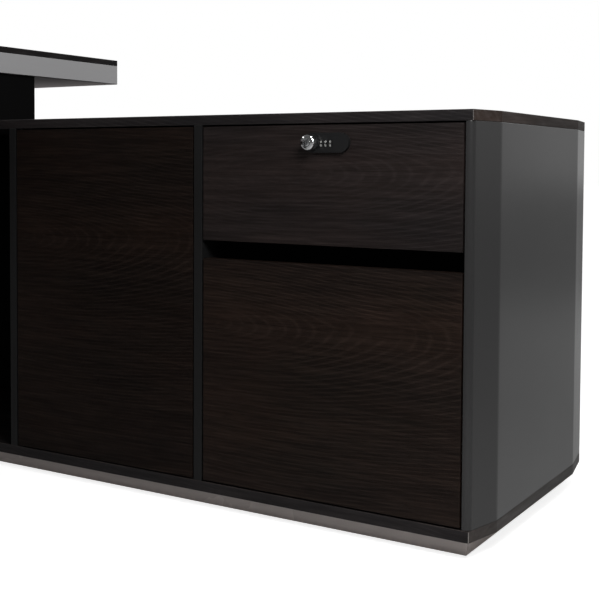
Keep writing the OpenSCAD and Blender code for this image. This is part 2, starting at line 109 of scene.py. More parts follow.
world = bpy.data.worlds.new("studio_room")
bpy.context.scene.world = world
world.use_nodes = True
nodes, links = world.node_tree.nodes, world.node_tree.links
nodes.clear()
way = nodes.new("ShaderNodeTexCoord")
apart = nodes.new("ShaderNodeSeparateXYZ")
toward_back = nodes.new("ShaderNodeMapRange")
toward_back.interpolation_type = "SMOOTHSTEP"
for label, amount in (("From Min", -0.3), ("From Max", 0.8), ("To Min", 0.09), ("To Max", 0.55)):
    toward_back.inputs[label].default_value = amount
ray = nodes.new("ShaderNodeLightPath")
in_gloss = nodes.new("ShaderNodeMix")
in_gloss.data_type = "FLOAT"
in_gloss.inputs["A"].default_value = room_light
shown = nodes.new("ShaderNodeMix")
shown.data_type = "FLOAT"
shown.inputs["B"].default_value = 1.0
clear = nodes.new("ShaderNodeMath")
clear.operation = "MAXIMUM"
room = nodes.new("ShaderNodeBackground")
room.inputs["Color"].default_value = (1, 1, 1, 1)
links.new(way.outputs["Generated"], apart.inputs[0])
links.new(apart.outputs["Y"], toward_back.inputs["Value"])
links.new(toward_back.outputs[0], in_gloss.inputs["B"])
links.new(ray.outputs["Is Glossy Ray"], in_gloss.inputs["Factor"])
links.new(in_gloss.outputs["Result"], shown.inputs["A"])
links.new(ray.outputs["Is Camera Ray"], clear.inputs[0])
links.new(ray.outputs["Is Transmission Ray"], clear.inputs[1])
links.new(clear.outputs[0], shown.inputs["Factor"])
links.new(shown.outputs["Result"], room.inputs["Strength"])
links.new(room.outputs[0], nodes.new("ShaderNodeOutputWorld").inputs["Surface"])

for name, place, target, size, watts in (
        ("front_lamp", (1.25, -0.12, 1.00), (0.80, 0.42, 0.20), 0.35, 11),
        ("back_lamp", (1.6, 2.8, 1.8), (0.8, 0.7, 0.3), 1.4, 14),
        ("top_lamp", (-1.9, -0.5, 2.1), (0.3, 0.2, 0.5), 0.7, 10)):
    lamp = bpy.data.objects.new(name, bpy.data.lights.new(name, "AREA"))
    bpy.context.scene.collection.objects.link(lamp)
    lamp.data.size = size
    lamp.data.energy = watts
    facing = (Vector(place) - Vector(target)).to_track_quat("Z", "Y").to_matrix().to_4x4()
    lamp.matrix_world = Matrix.Translation(place) @ facing

# The plinth is six rails of chipboard in silver-grey foil, set back under the cabinet.
# They are sawn square, eased at the edges and glued to the base board.
rail_t, sawn_edge, least_bend = 0.018, 0.0005, math.radians(8)


def only(piece):
    bpy.ops.object.select_all(action="DESELECT")
    piece.select_set(True)
    bpy.context.view_layer.objects.active = piece


def block(name, low, high):
    bpy.ops.object.select_all(action="DESELECT")
    bpy.ops.mesh.primitive_cube_add(size=1, location=[(a + b) / 2 for a, b in zip(low, high)],
                                    scale=[b - a for a, b in zip(low, high)])
    piece = bpy.context.object
    piece.name = name
    bpy.ops.object.transform_apply(location=True, rotation=True, scale=True)
    return piece


def ease(piece, width, segments=2):
    only(piece)
    soft = piece.modifiers.new("eased", "BEVEL")
    soft.width = width
    soft.segments = segments
    soft.limit_method = "ANGLE"
    soft.angle_limit = least_bend
    bpy.ops.object.modifier_apply(modifier="eased")
    return piece


def moved(x=0.0, y=0.0, z=0.0):
    return Matrix.Translation((x, y, z))


def joined(name, pieces):
    only(pieces[0])
    for piece in pieces[1:]:
        piece.select_set(True)
    if len(pieces) > 1:
        bpy.ops.object.join()
    pieces[0].name = name
    return pieces[0]


def copied(name, model, spot):
    piece = model.copy()
    piece.data = model.data.copy()
    bpy.context.scene.collection.objects.link(piece)
    piece.name = name
    piece.data.transform(spot)
    if spot.is_negative:
        piece.data.flip_normals()
    return piece


def repeated(name, model, spots):
    pieces = [copied(name, model, spot) for spot in spots]
    bpy.data.objects.remove(model)
    return joined(name, pieces)


def dress(piece, *materials):
    for material in materials:
        piece.data.materials.append(material)
    return piece


def hand_over(piece, node):
    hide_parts(node)
    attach(piece, frame["nodes"][node]["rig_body"])


def board(node, material, width=sawn_edge):
    low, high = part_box(node)
    hand_over(dress(ease(block(node + "_piece", low, high), width), material), node)


def new_material(name, colour, rough):
    material = bpy.data.materials.new(name)
    material.use_nodes = True
    shader = material.node_tree.nodes["Principled BSDF"]
    shader.inputs["Base Color"].default_value = (*colour, 1)
    shader.inputs["Roughness"].default_value = rough
    return material, shader


def group(name, inputs, outputs):
    tree = bpy.data.node_groups.new(name, "ShaderNodeTree")
    for label, kind, value in inputs:
        socket = tree.interface.new_socket(name=label, in_out="INPUT", socket_type=kind)
        if value is not None:
            socket.default_value = value
    for label in outputs:
        tree.interface.new_socket(name=label, in_out="OUTPUT", socket_type="NodeSocketFloat")
    return tree, tree.nodes.new("NodeGroupInput"), tree.nodes.new("NodeGroupOutput")


def noise(nodes, links, vector, scale, detail, roughness=0.5):
    texture = nodes.new("ShaderNodeTexNoise")
    texture.inputs["Scale"].default_value = scale
    texture.inputs["Detail"].default_value = detail
    texture.inputs["Roughness"].default_value = roughness
    links.new(vector, texture.inputs["Vector"])
    return texture


def spread(nodes, links, value, low, high, start=0.0, end=1.0):
    change = nodes.new("ShaderNodeMapRange")
    for label, amount in (("From Min", start), ("From Max", end), ("To Min", low), ("To Max", high)):
        change.inputs[label].default_value = amount
    links.new(value, change.inputs["Value"])
    return change.outputs[0]


def blend_colours(nodes, links, factor, first, second):
    mix = nodes.new("ShaderNodeMix")
    mix.data_type = "RGBA"
    for label, colour in (("A", first), ("B", second)):
        if isinstance(colour, bpy.types.NodeSocket):
            links.new(colour, mix.inputs[label])
        else:
            mix.inputs[label].default_value = (*colour, 1)
    links.new(factor, mix.inputs["Factor"])
    return mix.outputs["Result"]


def relief(nodes, links, shader, height, distance):
    bump = nodes.new("ShaderNodeBump")
    bump.inputs["Distance"].default_value = distance
    links.new(height, bump.inputs["Height"])
    links.new(bump.outputs[0], shader.inputs["Normal"])


# The skin that all the plain surfaces share: a fine pressed texture and slow clouds
# in the tint, as foil, laminate, paint and moulded plastic have.
skin, start, end = group("pressed_skin", [("Vector", "NodeSocketVector", None),
                                          ("Fine", "NodeSocketFloat", 900.0),
                                          ("Clouds", "NodeSocketFloat", 4.0)], ["Grit", "Cloud"])
for output, size, detail in (("Grit", "Fine", 2), ("Cloud", "Clouds", 4)):
    texture = noise(skin.nodes, skin.links, start.outputs["Vector"], 1.0, detail)
    skin.links.new(start.outputs[size], texture.inputs["Scale"])
    skin.links.new(texture.outputs["Fac"], end.inputs[output])
cloud_low, cloud_high = 0.3, 0.7


def plain(name, colour, rough, fine=900.0, clouds=4.0, shift=0.06, bump=0.00002, metallic=0.0,
          specular=0.5, rough_shift=0.08):
    material, shader = new_material(name, colour, rough)
    nodes, links = material.node_tree.nodes, material.node_tree.links
    place = nodes.new("ShaderNodeTexCoord")
    surface = nodes.new("ShaderNodeGroup")
    surface.node_tree = skin
    surface.inputs["Fine"].default_value = fine
    surface.inputs["Clouds"].default_value = clouds
    links.new(place.outputs["Object"], surface.inputs["Vector"])
    cloud = surface.outputs["Cloud"]
    darker = [c * (1 - shift) for c in colour]
    lighter = [min(1, c * (1 + shift)) for c in colour]
    links.new(blend_colours(nodes, links, cloud, darker, lighter), shader.inputs["Base Color"])
    gloss = spread(nodes, links, cloud, rough - rough_shift, rough + rough_shift, cloud_low, cloud_high)
    links.new(gloss, shader.inputs["Roughness"])
    relief(nodes, links, shader, surface.outputs["Grit"], bump)
    shader.inputs["Metallic"].default_value = metallic
    shader.inputs["Specular IOR Level"].default_value = specular
    return material


silver_foil = plain("silver_foil", (0.46, 0.402, 0.380), rough=0.26, fine=1400, shift=0.05, specular=0.8)
for node in ("plinth_front", "plinth_back", "plinth_end_right", "plinth_end_left"):
    board(node, silver_foil)
low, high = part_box("plinth_cross_rails")
rail = ease(block("rail", low, (low.x + rail_t, high.y, high.z)), sawn_edge)
rails = repeated("plinth_cross_rails_piece", rail, (moved(), moved(high.x - low.x - rail_t)))
hand_over(dress(rails, silver_foil), "plinth_cross_rails")

# The base and top boards are dark oak laminate with slanted corners at both ends.
# Their edges are banded, and where two bands meet at the eased front corner a pale colour is painted on as a
# painted highlight of the rounded corner.
grain, start, end = group("dark_oak", [("Vector", "NodeSocketVector", None),
                                       ("Wander", "NodeSocketFloat", 0.035),
                                       ("Tilt", "NodeSocketFloat", 0.2),
                                       ("Rings", "NodeSocketFloat", 0.0050)],
                          ["Figure", "Fibre", "Pores", "Tone"])
nodes, links = grain.nodes, grain.links


def number(nodes, links, operation, first, second=None, third=None):
    node = nodes.new("ShaderNodeMath")
    node.operation = operation
    for socket, value in zip(node.inputs, (first, second, third)):
        if isinstance(value, (int, float)):
            socket.default_value = value
        elif value is not None:
            links.new(value, socket)
    return node.outputs[0]


def grained(scale, detail, roughness=0.5):
    mapping = nodes.new("ShaderNodeMapping")
    mapping.inputs["Scale"].default_value = scale
    links.new(start.outputs["Vector"], mapping.inputs["Vector"])
    return noise(nodes, links, mapping.outputs[0], 1.0, detail, roughness).outputs["Fac"]


def lots(*terms):
    total = terms[0]
    for term in terms[1:]:
        total = number(nodes, links, "ADD", total, term)
    return total


def times(first, second):
    return number(nodes, links, "MULTIPLY", first, second)


# The figure is cut from rings that wander along the board. Each layer of noise has its scale
# along the grain and across it, in turns per metre.
quick_wander, ring_sharpness, coarse_share, fine_share = 0.0035, 5.0, 0.6, 0.4
parts = nodes.new("ShaderNodeSeparateXYZ")
links.new(start.outputs["Vector"], parts.inputs[0])
slow = number(nodes, links, "SUBTRACT", grained((2.0, 8, 8), detail=2), 0.5)
quick = number(nodes, links, "SUBTRACT", grained((14, 60, 60), detail=3), 0.5)
drift = lots(times(slow, start.outputs["Wander"]), times(quick, quick_wander))
across = lots(parts.outputs["Y"], drift)
depth = lots(times(parts.outputs["X"], start.outputs["Tilt"]), parts.outputs["Z"], drift)
ring = number(nodes, links, "SQRT", lots(times(across, across), times(depth, depth)))
turns = times(number(nodes, links, "DIVIDE", ring, start.outputs["Rings"]), 2 * math.pi)
wave = number(nodes, links, "SINE", turns)
crest = number(nodes, links, "MULTIPLY_ADD", wave, 0.5, 0.5)
thin = number(nodes, links, "POWER", crest, ring_sharpness)
shown_rings = spread(nodes, links, grained((3.5, 16, 16), detail=3, roughness=0.6),
                     low=0.1, high=1.0, start=0.38, end=0.60)
broken = spread(nodes, links, grained((30, 260, 260), detail=2), low=0.35, high=1.0, start=0.35, end=0.6)
coarse = grained((8, 190, 190), detail=4, roughness=0.6)
fine = grained((20, 600, 600), detail=3, roughness=0.6)
fibre = lots(times(coarse, coarse_share), times(fine, fine_share))
pores = spread(nodes, links, grained((60, 1500, 1500), detail=1, roughness=0.4),
               low=0, high=1, start=0.60, end=0.68)
tone = spread(nodes, links, grained((2.2, 9, 9), detail=4, roughness=0.6),
              low=0, high=1, start=0.36, end=0.64)
links.new(times(times(thin, shown_rings), broken), end.inputs["Figure"])
links.new(fibre, end.inputs["Fibre"])
links.new(pores, end.inputs["Pores"])
links.new(tone, end.inputs["Tone"])
warm_brown, warm_streak = (0.0116, 0.0061, 0.0042), (0.037, 0.0228, 0.0170)
cool, cool_ground, cool_lines = (0.76, 0.84, 0.90), 0.62, 0.8
streak_most, streak_from, streak_to = 0.46, 0.44, 0.61
pore_strength, pore_shade, grain_relief = 0.6, 0.4, 0.00006
duller, shinier = 0.08, 0.06


def dark_oak(name, turn, shift, shade, brown=warm_brown, streak=warm_streak, specular=0.2, figured=0.6,
             rough=0.45):
    dark, light = [c * shade for c in brown], [c * shade for c in streak]
    material, shader = new_material(name, dark, rough)
    nodes, links = material.node_tree.nodes, material.node_tree.links
    place = nodes.new("ShaderNodeTexCoord")
    laid = nodes.new("ShaderNodeMapping")
    laid.inputs["Rotation"].default_value = turn
    laid.inputs["Location"].default_value = shift
    links.new(place.outputs["Object"], laid.inputs["Vector"])
    wood = nodes.new("ShaderNodeGroup")
    wood.node_tree = grain
    links.new(laid.outputs[0], wood.inputs["Vector"])
    figure, fibre, pores, tone = (wood.outputs[label] for label in ("Figure", "Fibre", "Pores", "Tone"))
    ground = blend_colours(nodes, links, tone, dark, [c * k * cool_ground for c, k in zip(dark, cool)])
    lines = blend_colours(nodes, links, tone, light, [c * k * cool_lines for c, k in zip(light, cool)])
    streaks = spread(nodes, links, fibre, 0.0, streak_most, streak_from, streak_to)
    lit = blend_colours(nodes, links, number(nodes, links, "MULTIPLY_ADD", figure, figured, streaks),
                        ground, lines)
    pored = blend_colours(nodes, links, number(nodes, links, "MULTIPLY", pores, pore_strength),
                          lit, [c * pore_shade for c in dark])
    links.new(pored, shader.inputs["Base Color"])
    gloss = spread(nodes, links, fibre, rough + duller, rough - shinier, start=0.35, end=0.65)
    links.new(gloss, shader.inputs["Roughness"])
    relief(nodes, links, shader, number(nodes, links, "SUBTRACT", fibre, pores), grain_relief)
    shader.inputs["Specular IOR Level"].default_value = specular
    return material


quarter = math.pi / 2
along_x, along_y, fronts_along_x = (0, 0, 0), (0, 0, quarter), (-quarter, 0, 0)
plum, plum_streak = (0.0105, 0.0080, 0.0082), (0.030, 0.0250, 0.0245)
board_oak = dark_oak("board_oak", along_x, shift=(0.3, -0.62, -0.45), shade=1.0,
                     brown=plum, streak=plum_streak)
face_oak = dark_oak("face_oak", along_x, shift=(0.3, -0.62, -0.45), shade=1.0,
                    brown=plum, streak=plum_streak, specular=0.06, rough=0.66)
top_band = dark_oak("top_band", (0, 0, -quarter), shift=(0.3, -0.8, -0.45), shade=1.0,
                    brown=(0.030, 0.0205, 0.0165), streak=(0.052, 0.0390, 0.0350), specular=0.04)
# The base board's band is painted lighter than the top's, as painted light on the base board. The same colour
# on its upward eased arris is a painted highlight.
lit_base_band = dark_oak("lit_base_band", (0, 0, -quarter), shift=(0.1, -0.8, -0.45), shade=1.3,
                     brown=(0.027, 0.0225, 0.0205), streak=(0.050, 0.0430, 0.0405), specular=0.14)
# These two pale colours go on the eased corner faces of the top and base boards as a painted highlight.
top_corner_highlight = plain("top_corner_highlight", (0.060, 0.054, 0.052), rough=0.6, specular=0.2)
base_corner_highlight = plain("base_corner_highlight", (0.16, 0.150, 0.140), rough=0.5)
facet_in, facet_front, facet_back = 0.0145, 0.064, 0.082
arris, highlight_area, slanting, square_to = 0.0007, 2e-6, 0.3, 0.95


def slanted_board(node, band, corner_highlight, lit_top_arris):
    low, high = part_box(node)
    piece = block(node + "_piece", low, high)
    bpy.ops.object.mode_set(mode="EDIT")
    for x, side in ((high.x, 1), (low.x, -1)):
        for y, run, way in ((low.y, facet_front, -1), (high.y, facet_back, 1)):
            bpy.ops.mesh.select_all(action="SELECT")
            bpy.ops.mesh.bisect(plane_co=(x, y - way * run, low.z), plane_no=(side * run, way * facet_in, 0),
                                use_fill=True, clear_outer=True)
    bpy.ops.object.mode_set(mode="OBJECT")
    dress(ease(piece, arris), board_oak, corner_highlight, band, face_oak)
    for face in piece.data.polygons:
        from_end = min(high.x - facet_in - face.center.x, face.center.x - low.x - facet_in)
        from_side = min(face.center.y - low.y, high.y - face.center.y)
        at_corner = abs(from_end) < 2 * arris and from_side < 2 * arris
        endways, upward = abs(face.normal.x), face.normal.z
        between_bands = abs(upward) < slanting and 0.2 < endways < square_to
        # Eased faces at the slanted corner take the pale painted highlight colour.
        if at_corner and between_bands and face.area > highlight_area:
            face.material_index = 1
        # When the top arris flag is set, the upward eased arris faces take the band colour as a painted
        # highlight.
        elif endways > 0.5 or lit_top_arris and slanting < upward < square_to:
            face.material_index = 2
        elif abs(upward) > 0.99:
            face.material_index = 3
    hand_over(piece, node)


slanted_board("credenza_base", lit_base_band, base_corner_highlight, lit_top_arris=True)

# The end panels are thick board in smooth grey foil, and they stand on the base board. They are
# folded crisply where the long face turns into the slanted ones and softly at the front corner.
# The left one carries a shelf, so its inner face is bored for the shelf's pins.
grey_foil = plain("grey_foil", (0.0160, 0.0158, 0.0160), rough=0.23, fine=1600, clouds=2.0, shift=0.05,
                  specular=0.40)
# A near-black colour on faces turned down, such as the panels' lower eased edges, is a painted shadow in the
# gap above the base board.
shadow_line = plain("shadow_line", (0.003, 0.003, 0.003), rough=0.7, specular=0.1)
fold_r, corner_r, panel_edge, fold_steps = 0.003, 0.007, 0.0012, 8
# A place is the same within near, a cut runs over by over, an edge longer than tall is upright,
# and a face with more of its normal than square_on looks that way.
near, over, tall, square_on, turned_down = 0.0001, 0.01, 0.1, 0.9, -0.1
pin_low, pin_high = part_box("shelf_pins")
pin_z, pin_r = (pin_low.z + pin_high.z) / 2, (pin_high.z - pin_low.z) / 2
pin_rows = (pin_low.y + pin_r, pin_high.y - pin_r)
pin_depth, hole_pitch, holes_each_way = 0.009, 0.032, 2


def pick(piece, kind, test):
    only(piece)
    bpy.ops.object.mode_set(mode="EDIT")
    bpy.ops.mesh.select_mode(type=kind)
    bpy.ops.mesh.select_all(action="DESELECT")
    bpy.ops.object.mode_set(mode="OBJECT")
    points = piece.data.vertices
    if kind == "FACE":
        for face in piece.data.polygons:
            face.select = test(face.center, face.normal)
    else:
        for edge in piece.data.edges:
            edge.select = test(*(points[v].co for v in edge.vertices))
    bpy.ops.object.mode_set(mode="EDIT")


def round_edges(piece, test, radius, segments):
    pick(piece, "EDGE", test)
    bpy.ops.mesh.bevel(offset=radius, segments=segments, affect="EDGES")
    bpy.ops.object.mode_set(mode="OBJECT")


def rod(name, start, finish, radius, sides=32):
    start, finish = Vector(start), Vector(finish)
    bpy.ops.object.select_all(action="DESELECT")
    bpy.ops.mesh.primitive_cylinder_add(vertices=sides, radius=radius, depth=(finish - start).length,
                                        location=(start + finish) / 2,
                                        rotation=(finish - start).to_track_quat("Z", "Y").to_euler())
    piece = bpy.context.object
    piece.name = name
    bpy.ops.object.transform_apply(location=True, rotation=True, scale=True)
    return piece


def shape(piece, tool, operation="DIFFERENCE"):
    only(piece)
    step = piece.modifiers.new("shaped", "BOOLEAN")
    step.operation = operation
    step.solver = "EXACT"
    step.use_self = True
    step.object = tool
    bpy.ops.object.modifier_apply(modifier="shaped")
    bpy.data.objects.remove(tool)
    return piece


def mirrored(x):
    return moved(2 * x) @ Matrix.Diagonal((-1, 1, 1, 1))


def folded_panel(node, cuts, at_fold, at_corner):
    piece = block(node + "_piece", *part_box(node))
    bpy.ops.object.mode_set(mode="EDIT")
    for point, facing in cuts:
        bpy.ops.mesh.select_all(action="SELECT")
        bpy.ops.mesh.bisect(plane_co=point, plane_no=facing, use_fill=True, clear_outer=True)
    bpy.ops.object.mode_set(mode="OBJECT")
    for on_edge, radius in ((at_fold, fold_r), (at_corner, corner_r)):
        round_edges(piece, lambda a, b: abs(a.z - b.z) > tall and on_edge(a), radius, fold_steps)
    dress(ease(piece, panel_edge, segments=3), grey_foil, shadow_line)
    # Downward faces take the painted shadow line.
    for face in piece.data.polygons:
        face.material_index = int(face.normal.z < turned_down)
    return piece


def pin_holes(x, way):
    inward = Matrix.Rotation(0 if way > 0 else math.pi, 4, "Z")
    return joined("holes", [copied("hole", pin_hole, moved(x, y, pin_z + step * hole_pitch) @ inward)
                            for y in pin_rows
                            for step in range(-holes_each_way, holes_each_way + 1)])


low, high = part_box("end_panel_right")
right_panel = folded_panel("end_panel_right",
                           [((high.x, y - way * run, low.z), (run, way * facet_in, 0))
                            for y, run, way in ((low.y, facet_front, -1), (high.y, facet_back, 1))],
                           lambda a: abs(a.x - high.x) < near,
                           lambda a: a.x > high.x - facet_in - near and abs(a.y - low.y) < near)
left_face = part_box("end_panel_left")[1].x
left_panel = copied("end_panel_left_piece", right_panel, mirrored((low.x + left_face) / 2))
pin_hole = rod("hole", (-over, 0, 0), (pin_depth, 0, 0), pin_r, sides=16)
shape(left_panel, pin_holes(left_face, -1))
hand_over(right_panel, "end_panel_right")
hand_over(left_panel, "end_panel_left")

# The dividers, shelves and back are graphite laminate board. The dividers' front edges
# show between the fronts, and their faces to the cupboards are bored for the shelf pins.
graphite = plain("graphite_laminate", (0.0065, 0.0065, 0.0067), rough=0.5, specular=0.25)
divider_edge = 0.0004
pin_faces = [(left_face, -1)]
for node, way in (("divider_drawers", 1), ("divider_door", -1), ("divider_niche", 1)):
    low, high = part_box(node)
    pin_faces.append((low.x if way > 0 else high.x, way))
    wall = shape(block(node + "_piece", low, high), pin_holes(*pin_faces[-1]))
    hand_over(dress(ease(wall, divider_edge), graphite), node)
bpy.data.objects.remove(pin_hole)
for node in ("back_panel", "shelf_right", "shelf_left"):
    board(node, graphite)

# The shelf pins are nickel-plated steel rods with rounded ends. Two are pushed into each side of
# a cupboard, and the shelf lies on all four.
nickel = plain("nickel_plate", (0.60, 0.58, 0.54), rough=0.24, fine=700, shift=0.06, metallic=1.0)
pin_nose = 0.0007
pin = ease(rod("pin", (-pin_depth, 0, 0), (pin_depth, 0, 0), pin_r, sides=24), pin_nose, segments=3)
pins = repeated("shelf_pins_piece", pin, [moved(x, y, pin_z) for x, way in pin_faces for y in pin_rows])
hand_over(dress(pins, nickel), "shelf_pins")

# The top board lies on the end panels and the dividers, and closes the cabinet. It is dark oak
# laminate with slanted corners, made like the base board.
slanted_board("credenza_top", top_band, top_corner_highlight, lit_top_arris=False)

# The finger rail is a black laminate board behind the gap between the drawers, so that fingers
# reach in over the lower front and nothing shows behind them.
black_laminate = plain("black_laminate", (0.0024, 0.0024, 0.0025), rough=0.7, specular=0.03)
board("finger_rail", black_laminate)

# The telescopic slides are rolled from zinc-plated steel strip. Each member is a channel with
# rounded lips and punched holes for the screws that hold it.
zinc = plain("zinc_plate", (0.50, 0.51, 0.53), rough=0.33, fine=700, shift=0.08, metallic=1.0)
steel_t, lip_r, punched_r = 0.0015, 0.00045, 0.0024
first_holes, last_hole = (0.05, 0.18, 0.30), 0.03
outer_depth, inner_depth = 0.0093, 0.0089


def channel_pair(node, depth, opens_in):
    low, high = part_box(node)
    strip = block("strip", low, (low.x + depth, high.y, high.z))
    open_from, open_to = (steel_t, depth + over) if opens_in else (-over, depth - steel_t)
    shape(strip, block("hollow", (low.x + open_from, low.y - over, low.z + steel_t),
                       (low.x + open_to, high.y + over, high.z - steel_t)))
    middle_z = (low.z + high.z) / 2
    hole = rod("hole", (low.x - over, 0, middle_z), (low.x + depth + over, 0, middle_z), punched_r,
               sides=16)
    along = [low.y + place for place in first_holes] + [high.y - last_hole]
    ease(shape(strip, repeated("holes", hole, [moved(y=y) for y in along])), lip_r)
    pair = repeated(node + "_piece", strip, (moved(), mirrored((low.x + high.x) / 2)))
    hand_over(dress(pair, zinc), node)


for storey in ("upper", "lower"):
    channel_pair(f"slide_fixed_{storey}", outer_depth, opens_in=True)
    channel_pair(f"slide_middle_{storey}", inner_depth, opens_in=True)
    channel_pair(f"slide_moving_{storey}", inner_depth, opens_in=False)

# The drawer boxes are grey melamine board. The bottom lies in grooves in the sides, the back
# stands on it, and chipboard screws through the sides hold the back.
melamine = plain("grey_melamine", (0.10, 0.10, 0.105), rough=0.5, fine=1200, clouds=6)
melamine_edge, bottom_edge = 0.0004, 0.0003
box_screw_r, box_screw_t, box_screw_sunk = 0.0035, 0.0008, 0.0002
# A screw's crossed slots and its shank are given as shares of its head.
head_round, cross_reach, cross_wide, cross_floor, cross_top, shank_share = 0.4, 0.55, 0.13, 0.45, 1.5, 0.5


def cross_screw(name, point, way, head_r, head_t, shank=0.0):
    point, way = Vector(point), Vector(way)
    head = rod(name, point, point + way * head_t, head_r, sides=24)
    ease(head, head_t * head_round, segments=3)
    turn = way.to_track_quat("Z", "Y").to_matrix()
    bars = []
    for long_way in (turn.col[0], turn.col[1]):
        corner = long_way * head_r * cross_reach + way.cross(long_way) * head_r * cross_wide
        ends = point + way * head_t * cross_floor - corner, point + way * head_t * cross_top + corner
        low, high = ([choose(pair) for pair in zip(*ends)] for choose in (min, max))
        bars.append(block("bar", low, high))
    shape(head, joined("cross", bars))
    # The face round the cross is split into triangles, because it would else meet itself.
    bpy.ops.object.mode_set(mode="EDIT")
    bpy.ops.mesh.select_all(action="SELECT")
    bpy.ops.mesh.quads_convert_to_tris()
    bpy.ops.object.mode_set(mode="OBJECT")
    if shank:
        shaft = rod("shank", point - way * shank, point, head_r * shank_share, sides=16)
        head = joined(name, [head, shaft])
    return head


for storey, screw_heights in (("upper", (0.500, 0.530)), ("lower", (0.200, 0.290))):
    low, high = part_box(f"{storey}_side_right")
    floor_low, floor_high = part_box(f"{storey}_bottom")
    middle_x = (floor_low.x + floor_high.x) / 2
    side = block(f"{storey}_side_right_piece", low, high)
    shape(side, block("groove", (low.x - over, low.y - over, floor_low.z),
                      (floor_high.x, high.y + over, floor_high.z)))
    dress(ease(side, melamine_edge), melamine)
    hand_over(copied(f"{storey}_side_left_piece", side, mirrored(middle_x)), f"{storey}_side_left")
    hand_over(side, f"{storey}_side_right")
    board(f"{storey}_back", melamine, melamine_edge)
    board(f"{storey}_bottom", melamine, bottom_edge)
    back_low, back_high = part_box(f"{storey}_back")
    in_back = (high.x - box_screw_sunk, (back_low.y + back_high.y) / 2, 0)
    head = cross_screw("head", in_back, (1, 0, 0), box_screw_r, box_screw_t)
    spots = [side_way @ moved(z=z) for side_way in (moved(), mirrored(middle_x)) for z in screw_heights]
    heads = dress(repeated(f"{storey}_box_screws", head, spots), zinc)
    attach(heads, frame["nodes"][f"{storey}_back"]["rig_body"])

# The file rails are black plastic strips clipped on the file drawer's sides. Hanging files
# hook over their thin lips.
black_plastic = plain("black_plastic", (0.0075, 0.0075, 0.008), rough=0.38, fine=1100)
low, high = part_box("file_rails")
side_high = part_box("lower_side_left")[1]
lip_t, foot_h, rail_edge = 0.0025, 0.004, 0.0005
strip = block("strip", (low.x, low.y, low.z), (side_high.x, high.y, low.z + foot_h))
pick(strip, "FACE", lambda centre, normal: normal.z > square_on)
bpy.ops.mesh.bisect(plane_co=(side_high.x - lip_t, 0, 0), plane_no=(1, 0, 0))
bpy.ops.object.mode_set(mode="OBJECT")
pick(strip, "FACE",
     lambda centre, normal: normal.z > square_on and centre.x > side_high.x - lip_t)
bpy.ops.mesh.extrude_region_move(TRANSFORM_OT_translate={"value": (0, 0, high.z - low.z - foot_h)})
bpy.ops.object.mode_set(mode="OBJECT")
ease(strip, rail_edge)
strips = repeated("file_rails_piece", strip, (moved(), mirrored((low.x + high.x) / 2)))
hand_over(dress(strips, black_plastic), "file_rails")

# The door and drawer fronts are dark oak laminate with the grain lying across them and soft
# edges. The upper drawer's front is cut for the lock, the doors are bored for their pivots.
# The three fronts are one laminate. The door is painted darker, and the lower front a little darker than the
# upper, as painted shade where the light falls off to the left. The upper front's greyer tint is a painted
# sheen.
upper_oak_lit = dark_oak("upper_oak_lit", fronts_along_x, shift=(-0.75, -0.51, 0.45), shade=0.88,
                     brown=(0.0112, 0.0071, 0.0062), streak=(0.035, 0.0256, 0.0238),
                     specular=0.16, figured=0.42)
lower_oak_shaded = dark_oak("lower_oak_shaded", fronts_along_x, shift=(-0.60, -0.285, 0.45), shade=0.82,
                     specular=0.1, figured=0.56)
door_oak_shaded = dark_oak("door_oak_shaded", fronts_along_x, shift=(-0.20, -0.40, 0.45), shade=0.66, specular=0.08)
front_soft = 0.0008
board("lower_front", lower_oak_shaded, front_soft)
pivot_low, pivot_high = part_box("door_pivots")
pivot_y, collar_r, pivot_r = (pivot_low.y + pivot_high.y) / 2, 0.0045, 0.003
bore_gap, bore_depth = 0.00005, 0.011
pivot_x = pivot_high.x - collar_r
low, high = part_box("door_right")
doors_middle = (pivot_low.x + pivot_high.x) / 2
bore = rod("bore", (pivot_x, pivot_y, -bore_depth), (pivot_x, pivot_y, bore_depth), pivot_r + bore_gap,
           sides=24)
bores = repeated("bores", bore, (moved(z=low.z), moved(z=high.z)))
door = shape(block("door_right_piece", low, high), bores)
dress(ease(door, front_soft), door_oak_shaded)
hand_over(copied("door_left_piece", door, mirrored(doors_middle)), "door_left")
hand_over(door, "door_right")
front_low, front_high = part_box("upper_front")
knob_low, knob_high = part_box("lock_knob")
knob_x, lock_z = (knob_low.x + knob_high.x) / 2, (knob_low.z + knob_high.z) / 2
dial_boxes = [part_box(f"lock_dial_{i}") for i in (1, 2, 3)]
(dials_from, dial_front, dial_base), (dials_to, dial_rear, dial_crest) = dial_boxes[0][0], dial_boxes[2][1]
dial_y, dial_z = (dial_front + dial_rear) / 2, (dial_base + dial_crest) / 2
dial_r = (dial_rear - dial_front) / 2
barrel_r, barrel_gap, pocket_side, pocket_end, pocket_depth = 0.009, 0.0001, 0.0026, 0.0021, 0.0107
front = block("upper_front_piece", front_low, front_high)
shape(front, rod("bore", (knob_x, front_low.y - over, lock_z), (knob_x, front_high.y + over, lock_z),
                 barrel_r + barrel_gap, sides=48))
pocket_low = Vector((dials_from - pocket_side, front_low.y - over, dial_base - pocket_end))
pocket_high = Vector((dials_to + pocket_side, front_low.y + pocket_depth, dial_crest + pocket_end))
shape(front, block("pocket", pocket_low, pocket_high))
hand_over(dress(ease(front, front_soft), upper_oak_lit), "upper_front")

